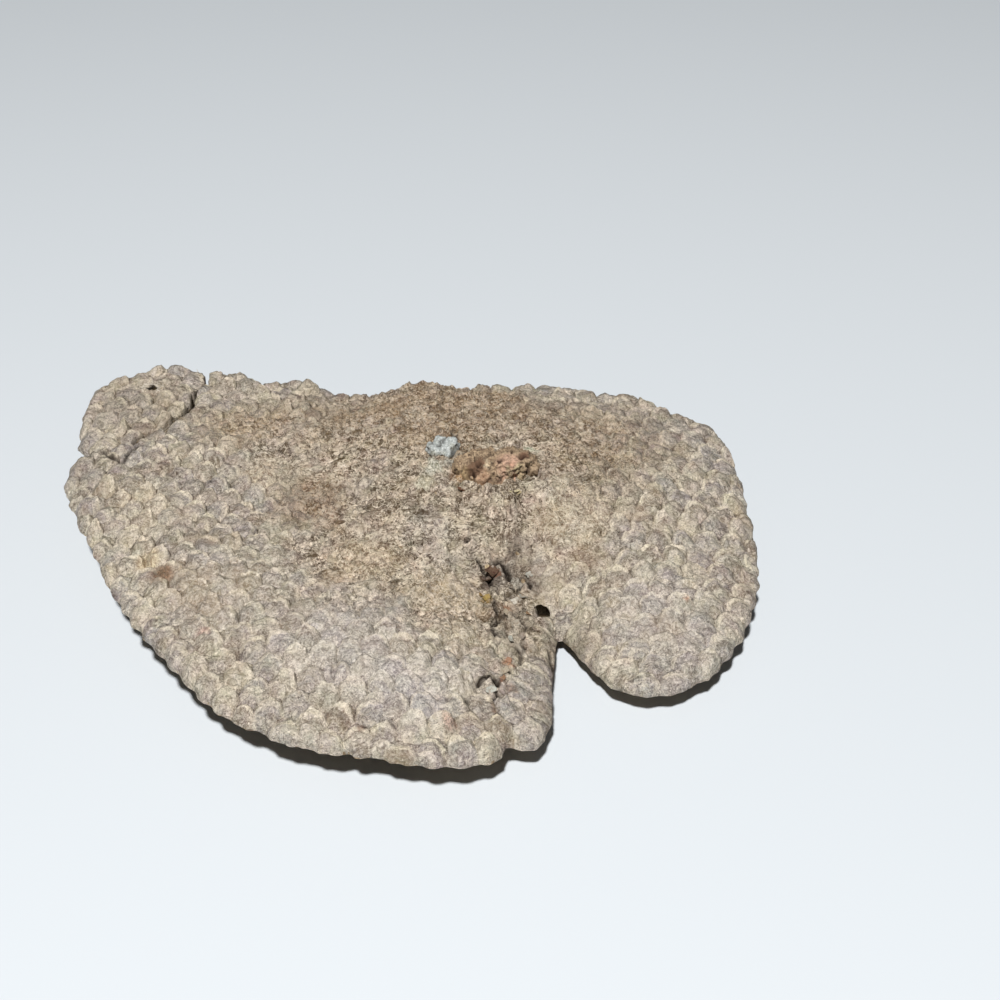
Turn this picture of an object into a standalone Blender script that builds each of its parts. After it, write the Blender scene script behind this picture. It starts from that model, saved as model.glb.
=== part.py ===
"""A hornet's paper comb, lying cells down on its flat middle.

Seen from above it is a kidney of two lobes with a deep notch between them. It grew outwards from
the pillar that it hung by, so its roof is laid out in rings round that pillar: highest there, dished
behind a low ridge, and curling down to a rim that stands clear of the ground. One corner has
broken off along a zigzag crack and lies in place. A torn stub of the pillar and a cake of
grey paper sit on the crown.

Plan positions and heights are in millimetres until a mesh is made. +X runs along the comb, +Y to
its back and +Z up, with the origin under the middle of its bounding box.
"""

import math

import bmesh
import bpy
import numpy as np
from mathutils import Vector

MM = 0.001
GAP = 0.3  # between two pieces that touch

# The comb's outline and the height of its roof there, clockwise from the back left corner
RIM = [
    (-125, 83, 20), (-120, 94, 21), (-110, 100, 22), (-97, 106, 22), (-84, 105, 21),
    (-65, 102, 20), (-58, 96, 20), (-43, 98, 20), (-31, 92, 19), (-21, 88, 19), (-10, 92, 20),
    (6, 97, 22), (19, 92, 21), (38, 94, 20), (58, 96, 19), (73, 90, 19), (85, 92, 18),
    (96, 82, 18), (111, 77, 17), (118, 68, 17), (123, 47, 16), (125, 17, 16), (125, -9, 15),
    (121, -29, 15), (114, -46, 14), (104, -60, 14), (95, -67, 14), (84, -70, 14), (75, -68, 14),
    (70, -64, 13), (64, -54, 12), (59, -45, 11), (54.5, -37, 10), (52.5, -54, 12),
    (51.5, -72, 13), (50.5, -86, 14), (46, -93, 15), (40, -98, 15), (37.5, -91, 16),
    (35, -100, 16), (28, -104, 18), (13, -106, 19), (-3, -102, 19), (-26, -99, 20),
    (-40, -92, 20), (-56, -82, 20), (-73, -62, 21), (-87, -43, 21), (-98, -25, 21),
    (-108, -4, 22), (-116, 12, 22), (-124, 33, 21), (-123, 46, 20), (-123, 57, 20),
]
# Heights of the roof inside the rim
ROOF = [
    (-24, 2, 26), (-45, 26, 25), (-78, 16, 26), (-98, 42, 25), (-86, 70, 24), (-105, 76, 24),
    (-66, -20, 28), (-40, -45, 29), (-16, -62, 29), (18, -67, 26), (10, -35, 25), (-5, 30, 32),
    (-40, 62, 26), (0, 62, 30), (40, 62, 31), (70, 55, 27), (84, 28, 27), (70, -4, 25),
    (85, -22, 22), (100, 0, 22), (72, -40, 18), (22, -11, 27), (31, -20, 17), (42, -26, 14),
    (50, -27, 12), (43, -42, 14), (44, -60, 15), (60, -18, 17),
]
CENTRE = (42, 14)  # every ring of the roof is the outline drawn in towards this point
RIM_POINTS = 132
SOFTENING = 6  # rim points on each side that the inner rings average
RIM_WALL = 4  # depth of the youngest cells, at the rim
FLAT_REACH = 0.55  # share of the way to the rim that the cells' mouths lie level on the ground
ROOF_RINGS = (0.95, 0.88, 0.79, 0.7, 0.61, 0.52, 0.43, 0.34, 0.26, 0.19, 0.12, 0.06)
BASE_RINGS = (0.92, 0.82, 0.73, 0.64, FLAT_REACH)

CROWN = {"x": 27, "y": 19, "halfX": 27, "halfY": 18, "height": 37}  # level seat of the pillar

# The broken corner: its crack, from beyond the back rim to beyond the left one
CRACK = [
    (-77, 115), (-80, 103), (-79, 94), (-83, 84), (-82, 75), (-87, 67), (-90, 61), (-97, 57),
    (-101, 51), (-107, 48), (-111, 45), (-118, 50), (-135, 52),
]
CRACK_WIDTH = 1.0
OUTSIDE = [(-150, 60), (-150, 130), (-80, 130)]

HOLE = {"x": 48.5, "y": -27.5, "radius": 2.8, "sides": 10}  # worn right through, by the notch

# The stub's outline at each height: height above its seat, middle, half width, half depth
STUB = [
    (0.0, 33.0, 17.0, 15.0, 8.6), (1.6, 33.0, 17.2, 15.2, 8.8), (3.4, 34.5, 16.4, 12.0, 7.4),
    (5.2, 37.2, 15.0, 8.6, 6.2), (6.8, 38.6, 14.2, 6.4, 4.6),
]
STUB_SIDES = 24

CAKE = {"x": 14.5, "y": 29.5, "width": 13, "depth": 8, "height": 2.6, "sides": 11}


def clear_scene():
    for thing in list(bpy.data.objects):
        bpy.data.objects.remove(thing, do_unlink=True)


def smooth_loop(points, count):
    """COUNT points at equal steps along a closed Catmull-Rom curve through POINTS."""
    knots = np.array(points, float)
    before, after, beyond = np.roll(knots, 1, 0), np.roll(knots, -1, 0), np.roll(knots, -2, 0)
    dense = []
    for s in np.linspace(0, 1, 16, endpoint=False):
        dense.append(
            0.5 * (2 * knots + (after - before) * s
                   + (2 * before - 5 * knots + 4 * after - beyond) * s**2
                   + (3 * knots - before - 3 * after + beyond) * s**3)
        )
    curve = np.stack(dense, 1).reshape(-1, knots.shape[1])
    curve = np.vstack([curve, curve[:1]])
    along = np.concatenate([[0], np.cumsum(np.hypot(*np.diff(curve[:, :2], axis=0).T))])
    steps = np.linspace(0, along[-1], count, endpoint=False)
    return np.stack([np.interp(steps, along, axis) for axis in curve.T], 1)


def spread(offsets):
    """The thin-plate kernel, r^2 log r, of a field of plan offsets."""
    square = (offsets**2).sum(-1)
    return 0.5 * square * np.log(np.maximum(square, 1e-9))


class Roof:
    """The thin plate bent through every height of the rim and the roof, with the level crown."""

    def __init__(self, knots):
        knots = np.array(knots, float)
        self.at = knots[:, :2]
        size = len(knots)
        plane = np.column_stack([np.ones(size), self.at])
        system = np.zeros((size + 3, size + 3))
        system[:size, :size] = spread(self.at[:, None] - self.at[None])
        system[:size, size:] = plane
        system[size:, :size] = plane.T
        self.weights = np.linalg.solve(system, np.append(knots[:, 2], [0, 0, 0]))

    def height(self, x, y):
        bend = float(spread(np.array([x, y]) - self.at) @ self.weights[:-3])
        plate = bend + float(self.weights[-3:] @ (1, x, y))
        across = math.hypot((x - CROWN["x"]) / CROWN["halfX"], (y - CROWN["y"]) / CROWN["halfY"])
        lift = 1 - smooth_step(0.95, 2.0, across)
        return plate + (CROWN["height"] - plate) * lift


def smooth_step(low, high, value):
    share = min(max((value - low) / (high - low), 0), 1)
    return share * share * (3 - 2 * share)


def middle(points):
    """Plan middle of the box round POINTS."""
    plan = np.array(points)[:, :2]
    return (plan.min(0) + plan.max(0)) / 2


def finish(name, bm, material):
    """A named object from a closed bmesh in millimetres, its faces turned out."""
    bmesh.ops.recalc_face_normals(bm, faces=bm.faces)
    bmesh.ops.scale(bm, vec=Vector((MM, MM, MM)), verts=bm.verts)
    mesh = bpy.data.meshes.new(name)
    bm.to_mesh(mesh)
    bm.free()
    mesh.shade_smooth()
    mesh.set_sharp_from_angle(angle=math.radians(40))
    thing = bpy.data.objects.new(name, mesh)
    bpy.context.scene.collection.objects.link(thing)
    if material:
        mesh.materials.append(material)
    return thing


def paper(name, colour):
    made = bpy.data.materials.new(name)
    made.use_nodes = True
    shader = made.node_tree.nodes["Principled BSDF"]
    shader.inputs["Base Color"].default_value = (*colour, 1)
    shader.inputs["Roughness"].default_value = 0.9
    shader.inputs["Metallic"].default_value = 0
    return made


def bridge(bm, outer, inner):
    """Faces between two rings of the same number of points."""
    for i, vert in enumerate(outer):
        j = (i + 1) % len(outer)
        bm.faces.new((vert, outer[j], inner[j], inner[i]))


def drawn_in(rim, share):
    """The outline drawn in towards the centre, to SHARE of its size, its notches fading inwards."""
    plan = rim[:, :2]
    soft = np.mean([np.roll(plan, step, 0) for step in range(-SOFTENING, SOFTENING + 1)], 0)
    outline = soft + (plan - soft) * smooth_step(0.3, 1, share)
    return np.array(CENTRE) + share * (outline - np.array(CENTRE))


def comb_body(rim, roof, shift):
    """The whole comb as one closed skin of rings: roof, rim wall and the cells' mouths."""
    bm = bmesh.new()

    def ring(plan, heights):
        places = zip(plan - shift, heights)
        return [bm.verts.new((x, y, z)) for (x, y), z in places]

    edge = ring(rim[:, :2], rim[:, 2])
    rings = [edge]
    for share in ROOF_RINGS:
        plan = drawn_in(rim, share)
        rings.append(ring(plan, [roof.height(x, y) for x, y in plan]))
    top = bm.verts.new((*(np.array(CENTRE) - shift), CROWN["height"]))
    for outer, inner in zip(rings, rings[1:]):
        bridge(bm, outer, inner)
    for i, vert in enumerate(rings[-1]):
        bm.faces.new((vert, rings[-1][(i + 1) % RIM_POINTS], top))

    under = [ring(rim[:, :2], rim[:, 2] - RIM_WALL)]
    for share in BASE_RINGS:
        rise = smooth_step(FLAT_REACH, 1, share)
        under.append(ring(drawn_in(rim, share), (rim[:, 2] - RIM_WALL) * rise))
    bridge(bm, edge, under[0])
    for outer, inner in zip(under, under[1:]):
        bridge(bm, outer, inner)
    bm.faces.new(under[-1])
    bmesh.ops.triangulate(bm, faces=bm.faces)
    return bm


def prism(name, plan, low, high):
    """A hidden cutter with the outline PLAN, from LOW to HIGH."""
    bm = bmesh.new()
    base = bm.faces.new([bm.verts.new((x, y, low)) for x, y in plan])
    grown = bmesh.ops.extrude_face_region(bm, geom=[base])["geom"]
    lifted = [part for part in grown if isinstance(part, bmesh.types.BMVert)]
    bmesh.ops.translate(bm, vec=Vector((0, 0, high - low)), verts=lifted)
    cutter = finish(name, bm, None)
    cutter.hide_render = True
    cutter.display_type = "WIRE"
    return cutter


def cut(thing, cutter, operation):
    boolean = thing.modifiers.new(cutter.name, "BOOLEAN")
    boolean.operation = operation
    boolean.object = cutter


def corner_cutter(name, shift, slip):
    """The corner's side of the crack, moved by SLIP away from the crack's middle line."""
    crack = np.array(CRACK) + np.array(slip)
    return prism(name, np.vstack([crack, OUTSIDE]) - shift, -5, 60)


def hole_cutter(shift):
    turns = np.arange(HOLE["sides"]) * math.tau / HOLE["sides"]
    plan = np.column_stack([np.cos(turns), np.sin(turns)]) * HOLE["radius"]
    return prism("hole_cutter", plan + (HOLE["x"], HOLE["y"]) - shift, -5, 60)


def pillar_stub(shift, material):
    """The torn foot of the pillar: lobed rings that lean towards its right, closed on top."""
    bm = bmesh.new()
    rings = []
    for level, x, y, half_x, half_y in STUB:
        ring = []
        for i in range(STUB_SIDES):
            turn = math.tau * i / STUB_SIDES
            reach = 1 + 0.07 * math.sin(3 * turn + level) + 0.05 * math.sin(5 * turn - level)
            place = np.array((x + half_x * reach * math.cos(turn), y + half_y * reach * math.sin(turn)))
            ring.append(bm.verts.new((*(place - shift), CROWN["height"] + GAP + level)))
        rings.append(ring)
    for lower, upper in zip(rings, rings[1:]):
        bridge(bm, lower, upper)
    bm.faces.new(rings[0])
    bm.faces.new(rings[-1])
    bmesh.ops.triangulate(bm, faces=bm.faces)
    return finish("pillar_stub", bm, material)


def grey_cake(shift, material):
    """A low cake of grey paper with a ragged outline and a narrower top."""
    bm = bmesh.new()
    base = bmesh.ops.create_circle(bm, segments=CAKE["sides"], radius=0.5, cap_ends=True)["verts"]
    for i, vert in enumerate(base):
        vert.co.xy *= 1 + 0.1 * math.sin(2.3 * i)
    bmesh.ops.scale(bm, vec=Vector((CAKE["width"], CAKE["depth"], 1)), verts=base)
    grown = bmesh.ops.extrude_face_region(bm, geom=bm.faces[:])["geom"]
    top = [part for part in grown if isinstance(part, bmesh.types.BMVert)]
    bmesh.ops.scale(bm, vec=Vector((0.8, 0.8, 1)), verts=top)
    bmesh.ops.translate(bm, vec=Vector((0, 0, CAKE["height"])), verts=top)
    place = np.array((CAKE["x"], CAKE["y"])) - shift
    bmesh.ops.translate(bm, vec=Vector((*place, CROWN["height"] + GAP)), verts=bm.verts)
    return finish("grey_cake", bm, material)


def main():
    clear_scene()
    rim = smooth_loop(RIM, RIM_POINTS)
    shift = middle(rim)
    roof = Roof(RIM + ROOF)
    comb_paper = paper("comb_paper", (0.36, 0.31, 0.255))
    pillar_paper = paper("pillar_paper", (0.37, 0.27, 0.2))
    cake_paper = paper("grey_paper", (0.38, 0.4, 0.39))

    comb = finish("comb", comb_body(rim, roof, shift), comb_paper)
    corner = bpy.data.objects.new("broken_corner", comb.data)
    bpy.context.scene.collection.objects.link(corner)
    slip = CRACK_WIDTH / 2
    cut(comb, corner_cutter("comb_side_cutter", shift, (slip, -slip)), "DIFFERENCE")
    cut(comb, hole_cutter(shift), "DIFFERENCE")
    cut(corner, corner_cutter("corner_side_cutter", shift, (-slip, slip)), "INTERSECT")
    pillar_stub(shift, pillar_paper)
    grey_cake(shift, cake_paper)


main()
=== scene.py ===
import math
import random

import bpy
import numpy as np
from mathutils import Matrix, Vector, noise
from mathutils.bvhtree import BVHTree
from mathutils.kdtree import KDTree


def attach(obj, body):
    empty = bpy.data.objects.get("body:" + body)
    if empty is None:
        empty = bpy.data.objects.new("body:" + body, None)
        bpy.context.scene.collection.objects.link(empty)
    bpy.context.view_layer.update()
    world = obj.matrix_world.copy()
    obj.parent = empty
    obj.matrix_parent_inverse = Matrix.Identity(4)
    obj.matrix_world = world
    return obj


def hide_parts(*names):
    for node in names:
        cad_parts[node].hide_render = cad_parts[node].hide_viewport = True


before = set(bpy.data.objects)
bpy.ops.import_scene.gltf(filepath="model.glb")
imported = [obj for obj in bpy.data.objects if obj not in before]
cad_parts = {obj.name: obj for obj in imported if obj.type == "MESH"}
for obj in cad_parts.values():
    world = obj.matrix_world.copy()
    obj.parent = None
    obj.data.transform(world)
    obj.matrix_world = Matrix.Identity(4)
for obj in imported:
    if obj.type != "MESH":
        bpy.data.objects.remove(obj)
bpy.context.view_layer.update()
mm = 0.001
noise.seed_set(3)  # so that the noise comes out the same in each run

# Plan places and sizes are in millimetres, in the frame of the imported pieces, and are scaled
# by mm where a mesh is made
comb = {
    "pitch": 8.5,  # between the middles of two cells
    "turn": 9,  # degrees that the rows of cells are turned by
    "columns": 34,
    "pairs": 19,  # pairs of rows
    "cuts": 5,  # cuts along each edge of a cell's fan on the roof
    "drift": 1.3,  # slow wander of the rows
    "jitter": 0.3,
    "margin": 2.6,  # least distance of a cell's middle from the outline
    "rimInset": 0.8,
    "bulge": 1,  # how far a rim cell swells past its neighbours' joints
    "rollOver": 2.6,  # how far the roof curls down at the rim
    "rollReach": 5,
    "roofThickness": 2.6,
    "growth": (42, 14),  # the rings of cells grew out from here
    "pillar": (36, 14),
    "wobble": (0.45, 0.22),  # of the walls, in wide and in narrow waves
    "fray": 0.6,  # raggedness of torn edges
    "lowest": 0.9,  # thinnest that a worn spot can be
}
# The cap of each cell on the roof: heights, and places as shares of the cell's own size
cap = {
    "least": 0.9,
    "more": 1.9,  # by chance
    "dome": 0.85,
    "tilt": 0.42,
    "lip": 0.5,
    "lipAt": 0.93,
    "groove": 0.3,
    "grooveAt": 0.58,
    "edge": 0.12,
}
# Heights of the wrinkles, from the finest to the widest, and of lumps and frayed grain
wrinkles = {
    "laid": 4,
    "crossed": 2.6,
    "wide": 2.2,
    "level": 0.75,  # what the crests are measured from
    "waves": 1.6,
    "lumps": 1,
    "grain": 0.12,
}
cellRadius = comb["pitch"] / math.sqrt(3)

# Share of the way to the rim at which the smooth middle gives way to domed cells, by direction
domesFrom = [(-180, 0.5), (-120, 0.52), (-95, 0.6), (-70, 0.45), (-30, 0.3), (0, 0.32), (40, 0.5),
             (60, 0.72), (90, 0.84), (130, 0.8), (150, 0.6), (180, 0.5)]

# Holes through the roof into the cells, and pits worn in it, each pit with painted shade in it: place and
# radius
openHoles = [(48.6, -30, 2.9), (-99.9, 88.2, 2.4)]
pits = [(-68.6, 24.7, 0.5), (-23, -4, 0.9), (-36.2, 39.3, 0.5), (-17.8, -36.9, 0.5),
        (6.3, -34.2, 0.5), (-9.3, -53, 0.5), (23.3, -11.6, 0.9), (10.9, 9.4, 0.5), (75.6, 15.4, 0.5),
        (-23.1, -81.7, 0.5), (32.4, -75.4, 0.9), (31, -21.5, 1.1), (33.5, -25, 0.8), (37, -27.5, 0.7),
        (42.8, -17.3, 1), (37.2, -18.8, 0.9), (39, -34, 0.7), (34, -41, 0.8), (36.5, -46, 0.6),
        (40.5, -57, 0.7), (37.5, -66, 0.8), (34, -77, 0.9), (43, -29.5, 0.7), (32.5, -52, 0.6),
        (29.8, -34, 0.7), (22.8, -33.4, 0.6), (12.4, 43.5, 0.6), (75.6, -2.8, 0.5), (-5.3, 88, 0.6),
        (11.4, 87, 0.6), (18.9, -82.3, 0.6), (23.6, -81.5, 0.5)]

# Creases and cracks in the roof: how deep, how wide, how much painted shade lies in them, and the way they
# run
creases = [
    (2.2, 1.8, 0.3, [(41, 4), (40, -2), (40.5, -6), (41, -9), (38.5, -13)]),
    (2.6, 1.25, 1, [(16.5, 41), (18.5, 37), (20, 34), (23, 32.8), (25.5, 31.8)]),
    (0.9, 1.1, 0.5, [(25.5, 31.8), (31, 32), (36, 33.4), (42, 34)]),
    (1.2, 1.6, 0.2, [(-52, -40), (-51, -51), (-48.5, -61), (-46.5, -72)]),
    (1.1, 1.3, 0.3, [(-16.5, -68), (-18, -74), (-19, -79), (-21, -86)]),
    (1, 1.2, 0.2, [(22, -60), (23, -71), (24, -83)]),
    (1.3, 1.3, 0.9, [(-111, 46), (-108.5, 42), (-103, 38), (-101.5, 43), (-99, 48)]),
    (2.4, 1.3, 1, [(31.8, -15.3), (33, -14.6), (34.5, -14.6), (36.2, -16), (37.8, -17.6)]),
    (1.8, 1.1, 1, [(25.5, -15.2), (27.6, -15.2), (28.5, -17), (29.6, -18.6)]),
    (1.8, 1.1, 1, [(40.4, -22.4), (41.2, -21), (42.2, -20)]),
    (1.6, 1, 1, [(44, -18.8), (45, -20), (44.6, -21.4)]),
    (2, 1.1, 1, [(32.4, -31), (32.8, -34), (34, -37), (35.2, -38.6)]),
    (2.2, 1.3, 1, [(34.4, -41.4), (33.4, -43), (32.2, -45)]),
    (1.6, 1, 0.9, [(30.6, -48.4), (32.4, -50.8), (34, -52)]),
    (1.6, 1.1, 0.9, [(50.6, -50), (51.2, -54), (52, -58)]),
    (1.4, 1, 0.8, [(38, -34), (40.4, -36), (42.6, -38.4), (43, -42)]),
    (1.4, 1, 0.8, [(42.4, -52), (41.8, -57), (40.8, -61)]),
    (2, 1.3, 1, [(27.2, -74), (28.8, -71.9), (31.3, -70.4), (33.9, -72.2)]),
    (1.8, 1.1, 1, [(32, -79.4), (33.4, -78.8), (34.8, -77.9)]),
]


def tone(red, green, blue):  # a colour from the usual steps of 0 to 255
    return tuple(((step / 255 + 0.055) / 1.055) ** 2.4 for step in (red, green, blue))


# Stains and patches: place, radius, colour and strength
stains = [
    (-33, 12, 17, (132, 108, 82), 0.45), (-64, 60, 20, (160, 138, 104), 0.35),
    (102.6, -38, 4, (95, 100, 88), 0.6), (97.6, -33.4, 1.3, (190, 120, 60), 0.9),
    (99.4, -18, 3.2, (180, 172, 160), 0.5), (98.2, -25.2, 3, (215, 208, 192), 0.6),
    (72.9, -33.3, 3, (215, 208, 192), 0.6), (74.1, -51.5, 3, (215, 208, 192), 0.5),
    (-78.9, -25, 5, (122, 88, 62), 0.7), (-85, -18.3, 5, (208, 196, 168), 0.7),
    (-96, -28.9, 3, (95, 80, 90), 0.6), (-61, -55.5, 2.5, (190, 150, 140), 0.5),
    (18.8, -92.5, 3, (190, 150, 140), 0.45), (-8, -95, 1.6, (110, 75, 60), 0.8),
    (-64.4, -60, 0.9, (50, 42, 38), 0.9), (31, -20.5, 3.4, (62, 34, 24), 1),
    (29.4, -21.6, 1.8, (44, 22, 16), 1), (32.8, -18.6, 2.2, (98, 62, 48), 1),
    (30, -29.6, 2.4, (146, 120, 62), 1), (34.5, -19, 6, (140, 136, 132), 0.5),
    (41, -14, 7, (136, 132, 128), 0.5), (48, -21, 6, (146, 142, 136), 0.5),
    (41, -36.5, 8, (138, 134, 126), 0.5), (35, -51, 7, (140, 136, 126), 0.4),
    (37, -31.3, 1.9, (152, 100, 64), 1), (37.3, -62.6, 2.1, (164, 116, 84), 1),
    (35.8, -70.3, 1.4, (150, 96, 60), 0.8), (32.3, -83.5, 1.8, (112, 84, 60), 0.8),
    # The near-black spots at (32, -75.2) and (33.6, -76.7) are painted shade in the pits there
    (38.3, -73.2, 1.8, (112, 84, 60), 0.6), (32, -75.2, 1, (25, 20, 18), 1),
    (33.6, -76.7, 0.9, (25, 20, 18), 1), (22, 14.5, 6, (182, 146, 102), 0.6),
    (52, -2.5, 7, (208, 198, 178), 0.35), (46, 15, 3, (120, 108, 114), 0.6),
    (-99.9, 88.2, 6, (232, 228, 220), 1), (24, 26, 6, (120, 104, 86), 0.5),
    (11, 18.5, 4.4, (190, 194, 188), 0.9), (8.5, 12, 3.8, (194, 194, 182), 0.85),
    (17, 21, 3.6, (178, 182, 178), 0.85), (22, 23, 3, (168, 168, 162), 0.7),
    (39, -26, 3, (112, 108, 102), 0.6), (36, -40, 3.4, (116, 106, 94), 0.6),
    (38, -57, 3.6, (126, 116, 104), 0.6), (33.5, -44, 1.6, (212, 204, 188), 0.7),
    (41, -19, 2.2, (176, 178, 174), 0.7), (38.5, -49, 1.8, (204, 196, 180), 0.6),
    (15, 62, 40, (146, 122, 94), 0.4), (72, 52, 30, (146, 124, 96), 0.35),
    (-34, 66, 26, (150, 128, 100), 0.3), (66, 22, 22, (150, 132, 108), 0.25),
    (-55, -38, 24, (208, 203, 196), 0.3), (-14, -62, 26, (208, 206, 206), 0.4),
    (88, -38, 22, (206, 204, 204), 0.35), (-102, 76, 22, (152, 138, 120), 0.3),
    (16, -34, 13, (212, 204, 190), 0.45), (23, -55, 10, (206, 198, 182), 0.35),
    (22, -74, 9, (206, 204, 200), 0.4), (-10, -20, 14, (206, 194, 172), 0.35),
    (-50, 28, 12, (202, 190, 170), 0.3), (64, 2, 13, (208, 198, 180), 0.35),
    (60, -44, 10, (150, 142, 130), 0.3), (-90, 10, 18, (204, 196, 176), 0.25),
    (6, -80, 16, (200, 200, 206), 0.4), (96, -58, 12, (176, 176, 182), 0.3),
    (32, 27, 2.6, (206, 202, 192), 0.7), (45.5, 26.5, 3, (184, 200, 184), 0.5),
]

# The frayed fold from the pillar to the notch
fold = {"rough": 4, "way": [(36, -16), (37, -30), (37, -50), (34, -76)]}

# A torn step in the roof, where one layer of paper ends on another
tornStep = {"lift": 1.5, "reach": 7, "way": [(31, -18), (30, -30), (29, -53), (31, -74)]}


def clearSelection():
    for thing in list(bpy.context.selected_objects):
        thing.select_set(False)


def choose(*things):
    clearSelection()
    for thing in things:
        thing.select_set(True)
    bpy.context.view_layer.objects.active = things[0]


def smoothStep(low, high, value):
    share = np.clip((value - low) / (high - low), 0, 1)
    return share * share * (3 - 2 * share)


def asPoints(plan):
    plan = np.asarray(plan, float)
    return plan if plan.shape[1] == 3 else np.column_stack([plan, np.zeros(len(plan))])


def grain(plan, size, shift=0, depth=3):  # cloudy noise, about -1 to 1, with lumps of this size
    places = asPoints(plan) / size + shift
    return np.array([noise.fractal(Vector(at), 0.8, 2.1, depth) for at in places])


def ridges(plan, size, shift=0, depth=3):  # 0 to about 1, with thin crests
    places = asPoints(plan) / size + shift
    return np.array([1 - abs(noise.fractal(Vector(at), 0.9, 2.1, depth)) for at in places])


def pushes(plan, size, shift=0):  # a wandering direction at each place
    found = [noise.noise_vector(Vector(at)) for at in asPoints(plan) / size + shift]
    return np.array(found)[:, :2]


def gap(first, second):
    return np.hypot(*(first - second).T)


def unit(ways):
    return ways / gap(ways, 0)[:, None]


def readField(things, name, width=1, kind=np.float32):
    values = np.empty(len(things) * width, kind)
    things.foreach_get(name, values)
    return values.reshape(-1, width) if width > 1 else values


def readPlaces(mesh):
    return readField(mesh.vertices, "co", 3).astype(float) / mm


def writePlaces(mesh, at):
    mesh.vertices.foreach_set("co", (np.asarray(at) * mm).astype(np.float32).ravel())
    mesh.update()


def readEdges(mesh):
    return readField(mesh.edges, "vertices", 2, np.int32)


def readCorners(mesh):  # the vertex of each face corner, and the face that it is on
    vertex = readField(mesh.loops, "vertex_index", 1, np.int32)
    sides = readField(mesh.polygons, "loop_total", 1, np.int32)
    return vertex, np.repeat(np.arange(len(mesh.polygons)), sides)


def readMark(mesh, name, kind=np.float32):
    return readField(mesh.attributes[name].data, "value", 1, kind)


def addMark(mesh, name, values, kind="FLOAT", field="value"):
    marks = mesh.attributes.new(name, kind, "POINT").data
    marks.foreach_set(field, np.asarray(values, np.float32).ravel())


def addMarks(mesh, **marks):
    for name, values in marks.items():
        addMark(mesh, name, values)


def openEdges(mesh):
    corners = readField(mesh.loops, "edge_index", 1, np.int32)
    return np.bincount(corners, minlength=len(mesh.edges)) == 1


def startEdit(thing, kind=None, picked=None):  # with all of it selected, or only what is picked
    choose(thing)
    bpy.ops.object.mode_set(mode="EDIT")
    if kind:
        bpy.ops.mesh.select_mode(type=kind)
    bpy.ops.mesh.select_all(action="SELECT" if picked is None else "DESELECT")
    if picked is not None:
        endEdit()
        mesh = thing.data
        parts = {"VERT": mesh.vertices, "EDGE": mesh.edges, "FACE": mesh.polygons}
        parts[kind].foreach_set("select", picked)
        bpy.ops.object.mode_set(mode="EDIT")


def endEdit():
    bpy.ops.object.mode_set(mode="OBJECT")


def dress(thing, material):
    thing.data.materials.clear()
    thing.data.materials.append(material)


def joined(name, parts):
    choose(*parts)
    bpy.ops.object.join()
    parts[0].name = name
    return parts[0]


def neighbourMean(values, ends, count):
    total = np.zeros_like(values)
    np.add.at(total, ends[:, 0], values[ends[:, 1]])
    np.add.at(total, ends[:, 1], values[ends[:, 0]])
    amount = np.maximum(np.bincount(ends.ravel(), minlength=count), 1)
    return total / (amount if values.ndim == 1 else amount[:, None])


def treeOf(*meshes):
    corners, faces = [], []
    for mesh in meshes:
        first = len(corners)
        corners += [vertex.co.copy() for vertex in mesh.vertices]
        faces += [[first + i for i in face.vertices] for face in mesh.polygons]
    return BVHTree.FromPolygons(corners, faces)


def heightsAt(tree, plan, fromBelow=False):
    start, way = (-10, (0, 0, 1)) if fromBelow else (100, (0, 0, -1))
    hits = [tree.ray_cast(Vector((x * mm, y * mm, start * mm)), Vector(way))[0] for x, y in plan]
    return np.array([hit.z / mm if hit else np.nan for hit in hits])


def nearestOf(loop):
    tree = KDTree(len(loop))
    for i, at in enumerate(asPoints(loop)):
        tree.insert(at, i)
    tree.balance()
    return tree


def filled(height, plan):  # the nearest known height where there is none
    missing = np.isnan(height)
    known = nearestOf(plan[~missing])
    values = height[~missing]
    height[missing] = [values[known.find(at)[1]] for at in asPoints(plan[missing])]
    return height


class Outline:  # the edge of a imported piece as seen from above
    def __init__(self, tree, centre, step=0.5):
        self.centre = np.array(centre, float)
        self.turns = np.linspace(-math.pi, math.pi, 1440, endpoint=False)
        self.reach = np.array([self.edgeAlong(tree, turn) for turn in self.turns])
        way = np.column_stack([np.cos(self.turns), np.sin(self.turns)])
        loop = self.centre + way * self.reach[:, None]
        loop = np.vstack([loop, loop[:1]])
        along = np.concatenate([[0], np.cumsum(np.hypot(*np.diff(loop, axis=0).T))])
        even = np.arange(0, along[-1], step)
        self.loop = np.column_stack([np.interp(even, along, axis) for axis in loop.T])
        self.tree = nearestOf(self.loop)

    def edgeAlong(self, tree, turn):
        way = np.array((math.cos(turn), math.sin(turn)))
        far = 200
        while far > 1 and np.isnan(heightsAt(tree, [self.centre + way * far])[0]):
            far -= 1
        near = 0
        for step in (0.5, 0.25, 0.125, 0.06):
            beyond = self.centre + way * (far + near + step)
            near += 0 if np.isnan(heightsAt(tree, [beyond])[0]) else step
        return far + near

    def share(self, plan):  # 0 at the centre, 1 on the edge
        way = plan - self.centre
        reach = np.interp(np.arctan2(way[:, 1], way[:, 0]), self.turns, self.reach, period=math.tau)
        return np.hypot(*way.T) / reach

    def nearest(self, plan):  # the nearest places on the edge
        return np.array([self.loop[self.tree.find(at)[1]] for at in asPoints(plan)])

    def within(self, plan, inset):  # the same places, those past the edge drawn in
        way = plan - self.centre
        far = np.hypot(*way.T)
        reach = far / np.maximum(self.share(plan), 1e-6)
        return self.centre + way * np.minimum(1, (reach - inset) / np.maximum(far, 1e-6))[:, None]


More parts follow.
